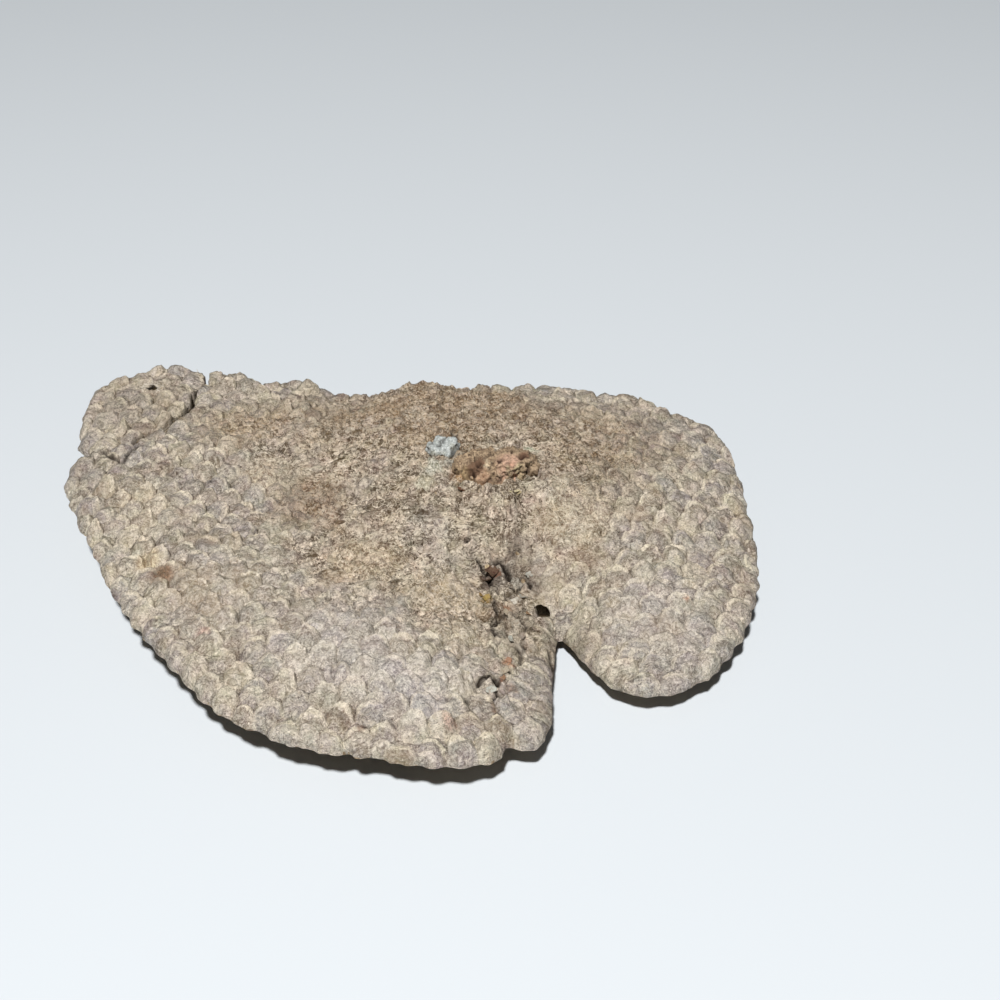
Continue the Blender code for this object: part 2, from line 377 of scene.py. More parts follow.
def distanceTo(way, plan):  # from each place to a line of points
    best = np.full(len(plan), 1e9)
    for a, b in zip(way, way[1:]):
        a, b = np.array(a, float), np.array(b, float)
        share = np.clip(((plan - a) @ (b - a)) / ((b - a) @ (b - a)), 0, 1)
        best = np.minimum(best, np.hypot(*(plan - a - share[:, None] * (b - a)).T))
    return best


def cellLattice():
    bpy.ops.mesh.primitive_circle_add(vertices=6, radius=cellRadius * mm, fill_type="TRIFAN")
    lattice = bpy.context.object
    startEdit(lattice)
    shift = (comb["pitch"] / 2 * mm, 1.5 * cellRadius * mm, 0)
    bpy.ops.mesh.duplicate_move(TRANSFORM_OT_translate={"value": shift})
    endEdit()
    across, back = (comb["pitch"] * mm, 0, 0), (0, 3 * cellRadius * mm, 0)
    for count, step in ((comb["columns"], across), (comb["pairs"], back)):
        array = lattice.modifiers.new("rows", "ARRAY")
        array.count = count
        array.use_relative_offset = False
        array.use_constant_offset = True
        array.constant_offset_displace = step
        bpy.ops.object.modifier_apply(modifier=array.name)
    width = (comb["columns"] - 0.5) * comb["pitch"] * mm
    depth = (comb["pairs"] - 0.5) * 3 * cellRadius * mm
    lattice.location = (-width / 2, -depth / 2, 0)
    bpy.ops.object.transform_apply()
    lattice.rotation_euler.z = math.radians(comb["turn"])
    bpy.ops.object.transform_apply()
    mesh = lattice.data
    vertex, face = readCorners(mesh)
    cell = np.arange(len(mesh.polygons)) // 6
    hub = np.bincount(vertex) == 6
    mesh.attributes.new("cell", "INT", "FACE").data.foreach_set("value", cell.astype(np.int32))
    addMarks(mesh, hub=hub)
    hubOf = np.zeros(cell[-1] + 1, int)
    hubOf[cell[face[hub[vertex]]]] = vertex[hub[vertex]]
    return lattice, readPlaces(mesh)[hubOf, :2]


def cellsOf(lattice, kept, name):
    choose(lattice)
    bpy.ops.object.duplicate()
    sheet = bpy.context.object
    sheet.name = name
    startEdit(sheet, "FACE", ~kept[readMark(sheet.data, "cell", np.int32)])
    bpy.ops.mesh.delete(type="FACE")
    bpy.ops.mesh.select_all(action="SELECT")
    bpy.ops.mesh.remove_doubles(threshold=0.2 * mm)
    bpy.ops.mesh.delete_loose()
    endEdit()
    return sheet


def settle(sheet, outline, whole, seed):
    mesh = sheet.data
    at = readPlaces(mesh)[:, :2]
    count = len(at)
    ends = readEdges(mesh)
    rim = ends[openEdges(mesh)]
    onRim = np.zeros(count, bool)
    onRim[rim.ravel()] = True
    rng = np.random.default_rng(seed)
    at += comb["drift"] * pushes(at, 26, 3.1) + rng.normal(0, comb["jitter"], at.shape)
    goal = at.copy()
    for _ in range(6):
        edge = outline.nearest(goal[onRim])
        goal[onRim] += (edge - goal[onRim]) * 0.6
        slid = neighbourMean(goal, rim, count)
        goal[onRim] += (slid[onRim] - goal[onRim]) * 0.35
    for _ in range(30):
        mean = neighbourMean(goal, ends, count)
        goal[~onRim] += (mean[~onRim] - goal[~onRim]) * 0.5
    goal[~onRim] += rng.normal(0, comb["jitter"], goal[~onRim].shape)
    edge = outline.nearest(goal[onRim])
    outer = whole.nearest(edge)
    isRim = np.zeros(count)
    isRim[onRim] = 1 - smoothStep(1, 3, gap(outer, edge))  # 0 along the crack
    goal[onRim] = edge + unit(whole.centre - edge) * (comb["rimInset"] * isRim[onRim])[:, None]
    writePlaces(mesh, np.column_stack([goal, np.zeros(count)]))
    return goal, onRim, isRim


def markCells(sheet, at, onRim, isRim, seed):
    mesh = sheet.data
    hub = readMark(mesh, "hub") > 0.5
    vertex, face = readCorners(mesh)
    names, own = np.unique(readMark(mesh, "cell", np.int32), return_inverse=True)
    mesh.attributes["cell"].data.foreach_set("value", own.astype(np.int32))
    cornerCell = own[face]
    middle = np.zeros((len(names), 2))
    middle[cornerCell[hub[vertex]]] = at[vertex[hub[vertex]]]
    offset = at[vertex] - middle[cornerCell]
    far = np.hypot(*offset.T)
    isCorner = ~hub[vertex]
    size = np.bincount(cornerCell[isCorner], far[isCorner]) / np.bincount(cornerCell[isCorner])
    # A rim corner that only one cell has swells outwards
    touching = [set() for _ in at]
    for v, c in zip(vertex, cornerCell):
        touching[v].add(c)
    alone = np.array([len(t) == 1 for t in touching]) & onRim
    addMarks(mesh, bulge=alone * isRim, isRim=isRim)
    rng = np.random.default_rng(seed)
    # The lips face the pillar, and the back as well
    facing = 0.45 * unit(np.array(comb["pillar"]) - middle) + (0, 0.8)
    turn = np.arctan2(facing[:, 1], facing[:, 0]) + rng.normal(0, 0.32, len(names))
    c, s = np.cos(turn)[cornerCell], np.sin(turn)[cornerCell]
    x, y = offset.T / size[cornerCell]
    spot = np.column_stack([x * c + y * s, y * c - x * s])
    chance = rng.random((len(names), 3))
    layers = {
        "spot": spot,
        "ring": np.column_stack([isCorner.astype(float), chance[cornerCell, 0]]),
        "chance": chance[cornerCell, 1:],
    }
    for name, values in layers.items():
        layer = mesh.uv_layers.new(name=name)
        layer.uv.foreach_set("vector", values.astype(np.float32).ravel())


def raggedPlan(mesh, outline, flat, onBorder):
    wide, narrow = comb["wobble"]
    plan = flat + wide * pushes(flat, 4, 7.7) + narrow * pushes(flat, 1.6, 2.2)
    # Each rim cell swells past its joints
    isRim = readMark(mesh, "isRim")
    swell = comb["bulge"] * (smoothStep(0, 0.9, readMark(mesh, "bulge")) - 0.4) * onBorder * isRim
    swell *= 1 + 0.9 * grain(flat, 12, 1.1, 2)
    plan += unit(flat - whole.centre) * swell[:, None]
    # Torn edges are ragged
    torn = onBorder & (isRim < 0.5)
    drawn = 0.25 + comb["fray"] * grain(plan[torn], 2.2, 5.2, 3)
    plan[torn] += unit(outline.centre - plan[torn]) * drawn[:, None]
    return plan


def domedShare(flat, plan):  # 0 in the smooth middle, 1 where the cells are domed
    way = flat - whole.centre
    start = np.interp(np.degrees(np.arctan2(way[:, 1], way[:, 0])), *np.array(domesFrom).T)
    return smoothStep(-0.17, 0.14, whole.share(plan) - start + 0.3 * grain(plan, 20, 4.4, 3))


def capsOn(mesh, plan, rimFar):  # a low dome on each cell, with a raised lip to one side
    vertex = readCorners(mesh)[0]
    layers = [readField(mesh.uv_layers[name].uv, "vector", 2) for name in ("spot", "ring", "chance")]
    spot, ring, chance = layers
    u, v = spot.T
    amount = cap["least"] + cap["more"] * chance[:, 0] ** 1.3
    lipAt = np.hypot(u + 0.3, v) + 0.08 * grain(plan, 5, 2.9, 2)[vertex]
    rise = cap["dome"] * (1 - 0.6 * (u * u + v * v)) + cap["tilt"] * u
    lip = np.exp(-((lipAt - cap["lipAt"]) / cap["edge"]) ** 2) * smoothStep(-0.2, 0.4, u)
    rise += cap["lip"] * lip * smoothStep(1, 8, rimFar)[vertex]
    groove = np.exp(-((lipAt - cap["grooveAt"]) / cap["edge"]) ** 2) * smoothStep(-0.1, 0.4, u)
    rise -= cap["groove"] * groove * (chance[:, 1] > 0.35)
    rise *= 1 - smoothStep(1, 1.12, lipAt) * (u > 0)
    rise *= amount * (1 - ring[:, 0] ** 9) * (1 - 0.5 * smoothStep(0.8, 1, np.hypot(u, v)))
    return np.bincount(vertex, rise, len(plan)) / np.bincount(vertex, minlength=len(plan))


def wrinklesOn(mesh, plan, domed, calm):
    smooth = 1 - domed
    calmed = 0.3 + 0.7 * calm
    # They run across the comb, and down from the pillar in the crease below it
    warped = plan + 3 * pushes(plan, 9, 9.9)
    out = warped - comb["pillar"]
    far = np.hypot(*out.T)
    around = out / far[:, None]
    draped = np.exp(-(far / 26) ** 2) * smoothStep(4, -10, out[:, 1])
    across = ridges(warped / (2.2, 1), 2.9, 4.2, 2)
    down = ridges(np.column_stack([far / 8, 9 * around]), 1, 1.2, 2)
    laid = across * (1 - draped) + down * draped - wrinkles["level"]
    height = (0.2 + 0.8 * smooth) * wrinkles["laid"] * calmed * laid
    crossed = ridges(plan, 2.8, 3.3, 2) - wrinkles["level"]
    height += (0.35 + 0.65 * smooth) * wrinkles["crossed"] * calmed * crossed
    wide = ridges(warped / (1.6, 1), 6, 6.8, 1) - wrinkles["level"]
    height += (0.2 + 0.8 * smooth) * wrinkles["wide"] * wide
    height += wrinkles["waves"] * grain(plan, 24, 5.5, 2) + wrinkles["lumps"] * grain(plan, 3.4, 8.8, 2)
    addMarks(mesh, draped=draped)
    addMark(mesh, "flow", np.column_stack([0.16 * far, 12 * around]), "FLOAT_VECTOR", "vector")
    return height


def reliefAndPaintedShade(plan):  # what creases, pits and holes change the height by, and how much painted shade lies in the creases and pits
    change = np.zeros(len(plan))
    # dark: the painted shade in creases and pits, from none to near-black
    dark = np.zeros(len(plan))
    for deep, wide, darkness, way in creases:
        far = distanceTo(way, plan) + 0.25 * wide * grain(plan, 3, 6.1, 1)
        dip = 1 - smoothStep(0.2, 1, far / wide)
        change -= deep * dip
        # painted shade along the crease
        dark = np.maximum(dark, darkness * dip)
    for x, y, radius in pits:
        far = gap(plan, (x, y))
        dip = 1 - smoothStep(0.5, 1.5, far / radius)
        dip[np.argmin(far)] = 1
        change -= 2.6 * dip
        # painted shade in the pit
        dark = np.maximum(dark, dip)
    for x, y, radius in openHoles:  # a low ring round each
        far = gap(plan, (x, y))
        change += 0.7 * np.exp(-((far - radius - 0.9) / 0.9) ** 2)
    return change, dark


def roofOf(sheet, outline, tree, seed):
    mesh = sheet.data
    flat = readPlaces(mesh)[:, :2]
    count = len(flat)
    ends = readEdges(mesh)
    border = openEdges(mesh)
    onBorder = np.zeros(count, bool)
    onBorder[ends[border].ravel()] = True
    plan = raggedPlan(mesh, outline, flat, onBorder)
    rimFar = gap(whole.nearest(plan), plan)
    # The roof itself, without its cells
    height = filled(heightsAt(tree, outline.within(plan, 0.8)), plan)
    for _ in range(14):
        mean = neighbourMean(height, ends[~border], count)
        rimMean = neighbourMean(height, ends[border], count)
        height += (np.where(onBorder, rimMean, mean) - height) * 0.7
    skin = height.copy()
    domed = np.ones(count) if sheet.name == "broken_corner_paper" else domedShare(flat, plan)
    calm = np.ones(count)  # less relief round the holes
    for x, y, radius in openHoles:
        calm *= smoothStep(radius, radius + 4, gap(plan, (x, y)))
    caps = capsOn(mesh, plan, rimFar)
    height += caps * (0.12 + 0.98 * domed) * (0.25 + 0.75 * calm) - 0.4 - 0.5 * domed
    height += wrinklesOn(mesh, plan, domed, calm)
    rng = np.random.default_rng(seed)
    height += rng.normal(0, wrinkles["grain"], count) * smoothStep(0, 6, rimFar)
    # The frayed fold that runs from the pillar to the notch
    frayed = 1 - smoothStep(3, 9, distanceTo(fold["way"], plan))
    height += frayed * fold["rough"] * (ridges(plan, 3.8, 1.9, 3) - 0.7)
    change, dark = reliefAndPaintedShade(plan)
    height += change
    # The torn step where the two sides of the notch overlap
    first, last = (np.array(tornStep["way"][end], float) for end in (0, -1))
    below = (plan - first) @ ((last - first)[::-1] * (1, -1)) < 0
    height += tornStep["lift"] * np.exp(-distanceTo(tornStep["way"], plan) / tornStep["reach"]) * below
    height += (neighbourMean(height, ends, count) - height) * 0.2 * domed
    # Curl down at the rim, and a little along every torn edge
    tornFar = gap(outline.nearest(plan), plan)
    height -= comb["rollOver"] * np.clip(1 - rimFar / comb["rollReach"], 0, 1) ** 2
    height -= 0.5 * np.clip(1 - tornFar, 0, 1) ** 2 * (1 - smoothStep(0, 2, 3 - rimFar))
    floor = filled(heightsAt(wholeTree, whole.within(plan, 1), fromBelow=True), plan)
    height = np.maximum(height, floor + comb["lowest"])
    writePlaces(mesh, np.column_stack([plan, height]))
    # dark carries the painted shade of the creases and pits to the finish
    addMarks(mesh, domed=domed, dark=dark)
    paintStains(mesh, plan, stains)
    return flat, plan, skin, onBorder


def paintStains(mesh, plan, marks):
    warp = plan + 1.8 * pushes(plan, 6, 1.4) + 1.3 * pushes(plan, 2.2, 6.2)
    paint = np.zeros((len(plan), 4))
    for x, y, radius, colour, strength in marks:
        far = gap(warp, (x, y)) / radius
        share = strength * (1 - smoothStep(0.45, 1.15, far))
        keep = paint[:, 3] * (1 - share)
        total = np.maximum(keep + share, 1e-6)
        mixed = paint[:, :3] * keep[:, None] + np.array(tone(*colour)) * share[:, None]
        paint[:, :3] = mixed / total[:, None]
        paint[:, 3] = keep + share
    addMark(mesh, "stain", paint, "FLOAT_COLOR", "color")


levelGap = 10  # between a cell's levels, until they are drawn to their heights


def cellsBelow(cells, flat, plan, skin, roofHeights, onBorder):
    mesh = cells.data
    startEdit(cells, "VERT", readMark(mesh, "hub") > 0.5)
    bpy.ops.mesh.dissolve_verts()
    endEdit()
    startEdit(cells, "EDGE", openEdges(mesh))
    bpy.ops.mesh.subdivide(number_cuts=comb["cuts"])
    endEdit()
    startEdit(cells, "FACE")
    bpy.ops.mesh.flip_normals()
    for _ in range(3):
        bpy.ops.mesh.extrude_faces_indiv()
        bpy.ops.transform.translate(value=(0, 0, levelGap * mm))
    bpy.ops.mesh.poke()
    endEdit()
    at = readPlaces(mesh)
    level = np.rint(at[:, 2] / levelGap).astype(int)  # 0 and 1 at the mouths, 2 and 3 up the walls
    under = at[:, :2]
    # Draw each cell's own rings in from its walls
    vertex, face = readCorners(mesh)
    cell = readMark(mesh, "cell", np.int32)[face]
    ringCorners = level[vertex] == 3
    amount = np.bincount(cell[ringCorners])
    middle = [np.bincount(cell[ringCorners], axis[vertex[ringCorners]]) / amount for axis in under.T]
    cellOf = np.zeros(len(at), int)
    cellOf[vertex] = cell
    offset = under - np.column_stack(middle)[cellOf]
    drawn = np.choose(level, [0, 0.065, 0.09, 0.2])  # shares of the cell's size
    under = under - offset * drawn[:, None]
    tree = nearestOf(flat)
    near = [tree.find_n(spot, 4) for spot in asPoints(under)]
    first = np.array([found[0][1] for found in near])
    moved = under + plan[first] - flat[first]
    moved[level > 0] += 0.25 * pushes(moved[level > 0], 3, 4.9)
    atBorder = np.array([found[0][2] < 0.01 for found in near]) & onBorder[first] & (level == 0)
    moved[atBorder] = plan[first[atBorder]]
    mouth = filled(heightsAt(wholeTree, whole.within(moved, 1), fromBelow=True), moved)
    mouth += 0.5 * np.abs(grain(moved, 5, 2.6, 2))
    lowRoof = np.array([min(roofHeights[i] for _, i, _ in found) for found in near])
    ceiling = np.minimum(skin[first] - comb["roofThickness"], lowRoof - 0.8)
    ceiling = np.maximum(ceiling, mouth + 0.25)
    height = np.choose(level, [mouth, mouth, mouth + 0.75 * (ceiling - mouth), ceiling])
    writePlaces(mesh, np.column_stack([moved, height]))
    addMarks(mesh, domed=np.ones(len(at)))
    paintStains(mesh, moved, [])



def combPiece(name, sheet, outline, tree, seed):
    at, onRim, isRim = settle(sheet, outline, whole, seed)
    markCells(sheet, at, onRim, isRim, seed)
    choose(sheet)
    bpy.ops.object.duplicate()
    cells = bpy.context.object
    sheet.name = name
    sheet.data.name = name
    startEdit(sheet)
    bpy.ops.mesh.subdivide(number_cuts=comb["cuts"])
    endEdit()
    flat, plan, skin, onBorder = roofOf(sheet, outline, tree, seed)
    cellsBelow(cells, flat, plan, skin, readPlaces(sheet.data)[:, 2], onBorder)
    dress(sheet, paperMaterial)
    dress(cells, cellMaterial)
    joined(name, [sheet, cells])
    mesh = sheet.data
    startEdit(sheet, "EDGE", openEdges(mesh))
    bpy.ops.mesh.bridge_edge_loops()
    endEdit()
    for x, y, radius in openHoles:
        cutHole(sheet, x, y, radius)
    startEdit(sheet)
    bpy.ops.mesh.quads_convert_to_tris()
    bpy.ops.mesh.normals_make_consistent(inside=False)
    endEdit()
    bpy.ops.object.shade_smooth_by_angle(angle=math.radians(60))
    print(name, len(mesh.polygons), "faces", openEdges(mesh).sum(), "open edges")
    return sheet


def cutHole(sheet, x, y, radius):  # through the roof and the ceiling of the cell below
    mesh = sheet.data
    at = readPlaces(mesh)
    middle = readField(mesh.polygons, "center", 3)[:, :2] / mm
    if gap(middle, (x, y)).min() > 5:
        return
    normal = readField(mesh.polygons, "normal", 3)
    slot = readField(mesh.polygons, "material_index", 1, np.int32)
    vertex, face = readCorners(mesh)
    far = gap(at[:, :2], (x, y))
    farthest = np.zeros(len(slot))
    np.maximum.at(farthest, face, far[vertex])
    roofFaces = (slot == 0) & (farthest < radius + 0.5) & (normal[:, 2] > 0.2)
    # The fan of triangles in the nearest cell's ceiling
    fans = (slot == 1) & (np.bincount(face) == 3)
    hubs = np.flatnonzero(np.bincount(vertex[fans[face]], minlength=len(at)) >= 6)
    gone = roofFaces.copy()
    gone[face[vertex == hubs[np.argmin(far[hubs])]]] = True
    # A round edge: the vertices that the hole shares with the rest of the roof
    inHole, inRest = np.zeros(len(at), bool), np.zeros(len(at), bool)
    inHole[vertex[roofFaces[face]]] = True
    inRest[vertex[((slot == 0) & ~roofFaces)[face]]] = True
    lip = inHole & inRest
    at[lip, :2] = (x, y) + (at[lip, :2] - (x, y)) * (radius / far[lip])[:, None]
    writePlaces(mesh, at)
    startEdit(sheet, "FACE", gone)
    bpy.ops.mesh.delete(type="FACE")
    endEdit()
    startEdit(sheet, "EDGE", openEdges(mesh))
    bpy.ops.mesh.bridge_edge_loops()
    endEdit()
    print("hole at", x, y, "open edges", openEdges(mesh).sum())


class Wire:  # one socket of a material, which can be added, multiplied and so on
    def __init__(self, finish, socket):
        self.finish = finish
        self.socket = socket

    def math(self, operation, *values):
        return self.finish.node("ShaderNodeMath", {"operation": operation}, dict(enumerate(values)))

    def __add__(self, other):
        return self.math("ADD", self, other)

    def __sub__(self, other):
        return self.math("SUBTRACT", self, other)

    def __rsub__(self, other):
        return self.math("SUBTRACT", other, self)

    def __mul__(self, other):
        return self.math("MULTIPLY", self, other)

    def __pow__(self, other):
        return self.math("POWER", self, other)

    def __abs__(self):
        return self.math("ABSOLUTE", self)

    __radd__ = __add__
    __rmul__ = __mul__

    def floor(self):
        return self.math("FLOOR", self)

    def ease(self, low, high):  # 0 below low, 1 above high
        sockets = {"Value": self, "From Min": low, "From Max": high}
        return self.finish.node("ShaderNodeMapRange", {"interpolation_type": "SMOOTHSTEP"}, sockets)


class Finish:  # one material and the nodes that make it
    def __init__(self, name, **sockets):
        self.material = bpy.data.materials.new(name)
        self.material.use_nodes = True
        self.shader = self.material.node_tree.nodes["Principled BSDF"]
        for name, value in sockets.items():
            self.put(self.shader.inputs[name.replace("_", " ")], value)
        self.places = self.node("ShaderNodeTexCoord", {}, {}, "Object")

    def put(self, socket, value):
        if isinstance(value, Wire):
            self.material.node_tree.links.new(value.socket, socket)
        elif hasattr(value, "__len__") and len(value) < len(socket.default_value):
            socket.default_value = (*value, 1)
        else:
            socket.default_value = value

    def node(self, kind, settings, sockets, output=0):
        node = self.material.node_tree.nodes.new(kind)
        for name, value in settings.items():
            setattr(node, name, value)
        for name, value in sockets.items():
            self.put(node.inputs[name], value)
        return Wire(self, node.outputs[output])

    def mix(self, share, first, second, blend="MIX"):
        settings = {"data_type": "RGBA", "blend_type": blend}
        return self.node("ShaderNodeMix", settings, {0: share, 6: first, 7: second}, 2)

    def layered(self, colour, layers):  # each share of a colour laid over the last
        for share, steps in layers:
            colour = self.mix(share, colour, tone(*steps))
        return colour

    def cloud(self, size, places=None, detail=2, rough=0.5, warp=0, shift=0, output=0):  # size in mm
        sockets = {"Vector": places or self.places, "W": shift, "Scale": 1 / (size * mm)}
        sockets |= {"Detail": detail, "Roughness": rough, "Distortion": warp}
        return self.node("ShaderNodeTexNoise", {"noise_dimensions": "4D"}, sockets, output)

    def layer(self, name):  # the two numbers that each face corner has
        both = self.node("ShaderNodeUVMap", {"uv_map": name}, {})
        split = self.node("ShaderNodeSeparateXYZ", {}, {0: both})
        return split, Wire(self, split.socket.node.outputs[1])

    def attribute(self, name, output="Fac"):
        return self.node("ShaderNodeAttribute", {"attribute_name": name}, {}, output)

    def scale(self, places, sizes):  # along the three axes
        return self.node("ShaderNodeVectorMath", {"operation": "MULTIPLY"}, {0: places, 1: sizes})

    def random(self, first, second):  # one number from 0 to 1 for each pair
        both = self.node("ShaderNodeCombineXYZ", {}, {0: first, 1: second})
        return self.node("ShaderNodeTexWhiteNoise", {"noise_dimensions": "2D"}, {"Vector": both})

    def done(self, colour, relief, distance, strength):
        self.put(self.shader.inputs["Base Color"], colour)
        sockets = {"Height": relief, "Distance": distance * mm, "Strength": strength}
        self.put(self.shader.inputs["Normal"], self.node("ShaderNodeBump", {}, sockets))
        return self.material


def roofPaper():
    finish = Finish("combPaper", Roughness=0.9, Specular_IOR_Level=0.25)
    domed, dark, draped = (finish.attribute(name) for name in ("domed", "dark", "draped"))
    stain, stained = (finish.attribute("stain", output) for output in ("Color", "Alpha"))
    u, v = finish.layer("spot")
    u = u + (finish.cloud(3, detail=1, shift=11) - 0.5) * 0.5
    v = v + (finish.cloud(3, detail=1, shift=12) - 0.5) * 0.5
    ring, seed = finish.layer("ring")
    seedTwo, seedThree = finish.layer("chance")
    curls = finish.cloud(1.5, rough=0.6, warp=1.6)
    fine = finish.cloud(0.55, rough=0.6, warp=1, shift=3)
    soft = finish.cloud(5, shift=5)
    wide = finish.cloud(30, shift=1)
    # The smooth middle: brown and cream fibres laid round the pillar, and browner patches
    swirl = finish.scale(finish.cloud(8, detail=1, shift=31, output="Color"), (8 * mm, 8 * mm, 0))
    warped = finish.node("ShaderNodeVectorMath", {"operation": "ADD"}, {0: finish.places, 1: swirl})
    streaks = finish.cloud(1.25, finish.scale(warped, (0.3, 1, 1)), rough=0.6, warp=0.8)
    flow = finish.scale(finish.attribute("flow", "Vector"), (mm, mm, mm))
    radial = finish.cloud(1.1, flow, rough=0.65, warp=1)
    streaks = streaks * (1 - draped) + radial * draped
    deep = finish.mix(wide.ease(0.4, 0.6), tone(82, 68, 51), tone(92, 82, 69))
    pale = finish.mix(wide.ease(0.42, 0.62), tone(204, 190, 171), tone(210, 202, 189))
    plain = finish.mix((streaks * 0.6 + curls * 0.22 + fine * 0.18).ease(0.41, 0.58), deep, pale)
    plain = finish.layered(plain, [
        (soft.ease(0.47, 0.6) * 0.6, (200, 188, 170)),
        ((1 - soft).ease(0.5, 0.63) * 0.6, (94, 80, 64)),
    ])
    # Each cell: its own tint, with strips of paper laid in arcs, a pale lip that is partly paler paper and
    # partly a painted highlight on its crest, and painted shade in the groove behind the lip
    laid = ((u + 0.75) ** 2 + v * v) ** 0.5 * 2.8 + seed * 5 + (soft - 0.5) * 0.8
    strip = laid.floor()
    within = laid - strip
    stripTint = finish.random(strip, seed)
    stripHue = finish.random(strip, seedThree)
    lip = ((u + 0.3) ** 2 + v * v) ** 0.5
    lip = lip.ease(0.68, 0.8) * (1 - lip.ease(0.96, 1.05)) * u.ease(-0.1, 0.3)
    tint = finish.mix(seed.ease(0.3, 0.5), tone(158, 148, 134), tone(162, 157, 155))
    tint = finish.layered(tint, [
        (seedTwo.ease(0.6, 0.8), (200, 190, 168)),
        (seedThree.ease(0.78, 0.92), (142, 127, 108)),
        (stripHue.ease(0.6, 0.8) * 0.5, (160, 154, 160)),
        (stripTint.ease(0.45, 0.9) * 0.75, (216, 208, 192)),
        ((1 - stripTint).ease(0.55, 0.95) * 0.6, (116, 106, 96)),
        ((1 - within.ease(0, 0.16)) * 0.6, (98, 87, 73)),
        # the pale lip: paler paper, and partly a painted highlight on its crest
        (lip * (0.35 + 0.65 * seedThree), (236, 226, 204)),
        # painted shade along the cell's edge, strongest in the groove behind the lip
        (ring.ease(0.86, 0.98) * (0.1 + 0.8 * u.ease(0.1, 0.6)), (84, 72, 62)),
    ])
    grainy = (curls * 0.55 + fine * 0.45).ease(0.4, 0.6)
    tint = finish.mix(0.36, tint, finish.mix(grainy, tone(86, 76, 62), tone(226, 219, 206)))
    hues = finish.cloud(6, shift=21, output="Color")
    hues = finish.node("ShaderNodeHueSaturation", {}, {"Saturation": 1.2, "Color": hues})
    colour = finish.mix(0.13, finish.mix(domed, plain, tint), hues, "SOFT_LIGHT")
    # The edges of curled paper, a painted highlight line with a painted shadow line behind it, then flecks,
    # dark pits painted as shade, and patches
    curl = finish.cloud(3.4, finish.scale(warped, (0.6, 1, 1)), rough=0.5, warp=1.6, shift=51)
    edges = 0.7 - 0.35 * domed
    loose = curls * domed + streaks * (1 - domed)
    flecks = (fine * 0.45 + loose * 0.55).ease(0.55, 0.66)
    # small dark pits: painted shade in tiny hollows
    pitShade = 1 - finish.cloud(0.9, detail=1, shift=41).ease(0.3, 0.42)
    patches = finish.cloud(16, detail=3, shift=9)
    colour = finish.layered(colour, [
        # painted shadow behind each curled edge
        ((1 - abs(curl - 0.56).ease(0, 0.035)) * edges, (80, 67, 52)),
        # painted highlight on each curled edge
        ((1 - abs(curl - 0.5).ease(0, 0.035)) * edges, (232, 222, 204)),
        (flecks * (0.9 - 0.45 * domed), (244, 234, 219)),
        (pitShade * (0.85 - 0.5 * domed), (70, 57, 44)),
        (patches.ease(0.52, 0.7) * 0.35, (142, 120, 92)),
    ])
    # Stains, and painted shade in the creases, cracks and pits
    mottled = finish.mix(grainy, tone(70, 62, 52), tone(226, 221, 211))
    mottled = finish.mix(0.7, stain, mottled, "OVERLAY")
    colour = finish.mix(stained * (0.65 + 0.35 * grainy), colour, mottled)
    # painted shade: near-black in the creases, cracks and pits
    colour = finish.mix(dark, colour, tone(34, 26, 20))
    colour = finish.scale(colour, (1.15, 1.12, 1.10))
    relief = curl * 0.5 + curls * 0.35 + fine * 0.35
    relief = relief + streaks * (1 - domed) * 0.5 + (1 - within) * domed * 0.3
    return finish.done(colour, relief, 1.5, 1)


def cellPaper():
    finish = Finish("cellPaper", Roughness=0.92, Specular_IOR_Level=0.2)
    bands = finish.cloud(2.2, detail=3, warp=1.2)
    fine = finish.cloud(0.7, shift=4)
    grainy = (bands * 0.6 + fine * 0.4).ease(0.35, 0.65)
    colour = finish.mix(grainy, tone(104, 86, 66), tone(172, 154, 126))
    return finish.done(colour, bands * 0.5 + fine * 0.5, 0.4, 0.8)


def pillarPaper():
    finish = Finish("pillarPaper", Roughness=0.85, Specular_IOR_Level=0.3)
    curls = finish.cloud(1.3, detail=3, rough=0.6, warp=1.4)
    fine = finish.cloud(0.5, shift=4)
    grainy = (curls * 0.6 + fine * 0.4).ease(0.36, 0.64)
    colour = finish.mix(grainy, tone(112, 92, 74), tone(196, 172, 142))
    stained = finish.attribute("stain", "Alpha") * (0.35 + 0.65 * (curls * 0.5 + fine * 0.5).ease(0.35, 0.6))
    colour = finish.mix(stained, colour, finish.attribute("stain", "Color"))
    # Painted shade in the stub's pits, with dark speckle besides
    colour = finish.mix(finish.attribute("dark"), colour, tone(38, 20, 14))
    return finish.done(colour, curls * 0.6 + fine * 0.4, 0.5, 0.9)


def greyPaper():
    finish = Finish("greyPaper", Roughness=0.85, Specular_IOR_Level=0.3)
    fine = finish.cloud(0.8, detail=3, warp=0.6)
    soft = finish.cloud(4, shift=2)
    colour = finish.mix(fine.ease(0.35, 0.65), tone(158, 164, 162), tone(216, 220, 218))
    colour = finish.layered(colour, [
        (soft.ease(0.5, 0.7) * 0.4, (176, 172, 150)),
        # painted shade in the cracks
        (finish.attribute("dark"), (46, 42, 38)),
    ])
    return finish.done(colour, fine, 0.35, 0.8)


def remeshed(name, voxel):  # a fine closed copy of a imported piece
    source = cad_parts[name]
    lump = source.copy()
    lump.data = source.data.copy()
    lump.parent = None
    lump.name = name + "_detailed"
    bpy.context.scene.collection.objects.link(lump)
    startEdit(lump)
    bpy.ops.mesh.remove_doubles(threshold=0.001 * mm)
    endEdit()
    remesh = lump.modifiers.new("fine", "REMESH")
    remesh.mode = "VOXEL"
    remesh.voxel_size = voxel * mm
    bpy.ops.object.modifier_apply(modifier=remesh.name)
    return lump


